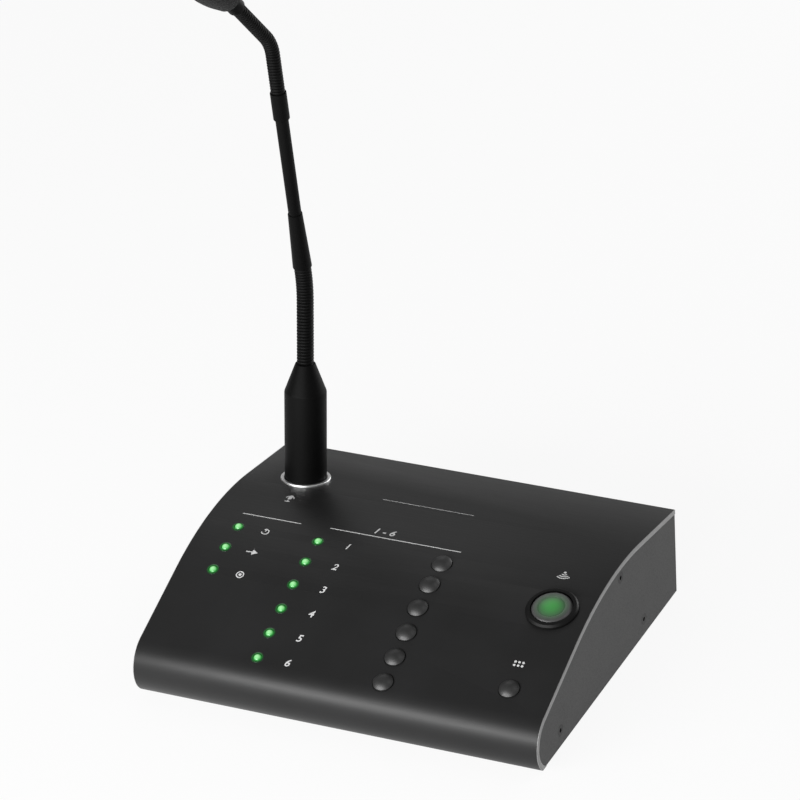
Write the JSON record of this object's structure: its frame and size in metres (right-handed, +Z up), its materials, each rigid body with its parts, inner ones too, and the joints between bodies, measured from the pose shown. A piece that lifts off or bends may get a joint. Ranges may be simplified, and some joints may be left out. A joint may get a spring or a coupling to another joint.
{
  "type": "desk paging microphone",
  "caption": "Wedge-shaped desk console with lit zone buttons, a large call button and a plug-in gooseneck microphone with a foam windscreen, for announcements to chosen zones.",
  "frame": {"origin": "at the table, under the middle of the console", "axes": "+X to the user's right along the console, +Y to the rear, +Z up"},
  "size_m": [0.2, 0.168, 0.3417],
  "materials": {
    "cover_black": "satin anodised extrusion",
    "plate_grey": "fine matt powder coat",
    "screw_black": "black oxide",
    "zinc_steel": "zinc plated sheet and turned steel",
    "foot_rubber": "matt",
    "board_green": "solder resist on laminate",
    "plain_black": "moulded",
    "cable_grey": "extruded jacket",
    "lamp_green": "clear tinted lens, lit",
    "button_black": "polished dome",
    "bezel_black": "satin ring",
    "cap_grey": "translucent",
    "lens_green": "frosted, lit",
    "bright_ring": "polished",
    "mic_black": "satin black",
    "flex_black": "satin black, ribbed",
    "pin_gold": "plated",
    "capsule_metal": "turned",
    "foam_black": "open-cell foam"
  },
  "bodies": {
    "base": {"top_cover": "cover_black", "left_end_plate": "plate_grey", "right_end_plate": "plate_grey", "end_screws": "screw_black", "clinch_nuts": "zinc_steel", "base_plate": "zinc_steel", "rubber_feet": "foot_rubber", "foot_screws": "zinc_steel", "rear_panel": "cover_black", "rear_screws": "screw_black", "link_board": "board_green", "link_posts": "zinc_steel", "link_screws": "zinc_steel", "link_socket": "plain_black", "power_inlet": "plain_black", "flat_cable": "cable_grey", "main_board": "board_green", "board_posts": "zinc_steel", "board_screws": "zinc_steel", "push_switches": "plain_black", "status_lamps": "lamp_green", "zone_lamps": "lamp_green", "call_bezel": "bezel_black", "call_nut": "plain_black", "call_block": "plain_black", "mic_socket": "bright_ring", "socket_nut": "bright_ring", "socket_insert": "plain_black", "mic_barrel": "mic_black", "pin_plate": "plain_black", "contact_pins": "pin_gold", "lower_flex_1": "flex_black", "mic_lead": "cable_grey", "call_lead": "cable_grey"},
    "neck_lower": {"lower_flex_2": "flex_black"},
    "neck_upper": {"neck_sleeve": "mic_black", "stem_tube": "mic_black", "upper_fitting": "mic_black", "upper_flex_1": "flex_black"},
    "head_link": {"upper_flex_2": "flex_black"},
    "head": {"head_collar": "mic_black", "capsule_housing": "mic_black", "capsule": "capsule_metal", "windscreen": "foam_black"},
    "call_button": {"call_cap": "cap_grey", "call_lens": "lens_green"},
    "all_button": {"all_button": "button_black"},
    "zone_button_1": {"zone_button_1": "button_black"},
    "zone_button_2": {"zone_button_2": "button_black"},
    "zone_button_3": {"zone_button_3": "button_black"},
    "zone_button_4": {"zone_button_4": "button_black"},
    "zone_button_5": {"zone_button_5": "button_black"},
    "zone_button_6": {"zone_button_6": "button_black"}
  },
  "joints": [
    {"name": "neck_tilt", "type": "hinge", "parent": "base", "child": "neck_lower", "pos_m": [-0.072, 0.05509, 0.12082], "axis": [1, 0, 0], "range_deg": [-30, 30], "deforming": ["lower_flex_1"]},
    {"name": "neck_sway", "type": "hinge", "parent": "neck_lower", "child": "neck_upper", "pos_m": [-0.072, 0.05831, 0.14515], "axis": [0, 0.9983, -0.0587], "range_deg": [-30, 30], "deforming": ["lower_flex_2"]},
    {"name": "head_tilt", "type": "hinge", "parent": "neck_upper", "child": "head_link", "pos_m": [-0.072, 0.04496, 0.26194], "axis": [0.9511, -0.3067, -0.0377], "range_deg": [-40, 40], "deforming": ["upper_flex_1"]},
    {"name": "head_sway", "type": "hinge", "parent": "head_link", "child": "head", "pos_m": [-0.07422, 0.03493, 0.28763], "axis": [0.2592, 0.7253, 0.6378], "range_deg": [-40, 40], "deforming": ["upper_flex_2"]},
    {"name": "zone_press_1", "type": "slide", "parent": "base", "child": "zone_button_1", "axis": [0, 0.3746, -0.9272], "range_m": [0, 0.001], "stiffness_N_per_m": 1200, "springref_m": -0.0004},
    {"name": "zone_press_2", "type": "slide", "parent": "base", "child": "zone_button_2", "axis": [0, 0.3746, -0.9272], "range_m": [0, 0.001], "stiffness_N_per_m": 1200, "springref_m": -0.0004},
    {"name": "zone_press_3", "type": "slide", "parent": "base", "child": "zone_button_3", "axis": [0, 0.3746, -0.9272], "range_m": [0, 0.001], "stiffness_N_per_m": 1200, "springref_m": -0.0004},
    {"name": "zone_press_4", "type": "slide", "parent": "base", "child": "zone_button_4", "axis": [0, 0.3746, -0.9272], "range_m": [0, 0.001], "stiffness_N_per_m": 1200, "springref_m": -0.0004},
    {"name": "zone_press_5", "type": "slide", "parent": "base", "child": "zone_button_5", "axis": [0, 0.3746, -0.9272], "range_m": [0, 0.001], "stiffness_N_per_m": 1200, "springref_m": -0.0004},
    {"name": "zone_press_6", "type": "slide", "parent": "base", "child": "zone_button_6", "axis": [0, 0.3746, -0.9272], "range_m": [0, 0.001], "stiffness_N_per_m": 1200, "springref_m": -0.0004},
    {"name": "all_press", "type": "slide", "parent": "base", "child": "all_button", "axis": [0, 0.3746, -0.9272], "range_m": [0, 0.001], "stiffness_N_per_m": 1200, "springref_m": -0.0004},
    {"name": "call_press", "type": "slide", "parent": "base", "child": "call_button", "axis": [0, 0.2692, -0.9631], "range_m": [0, 0.0015], "stiffness_N_per_m": 1200, "springref_m": -0.0006}
  ]
}
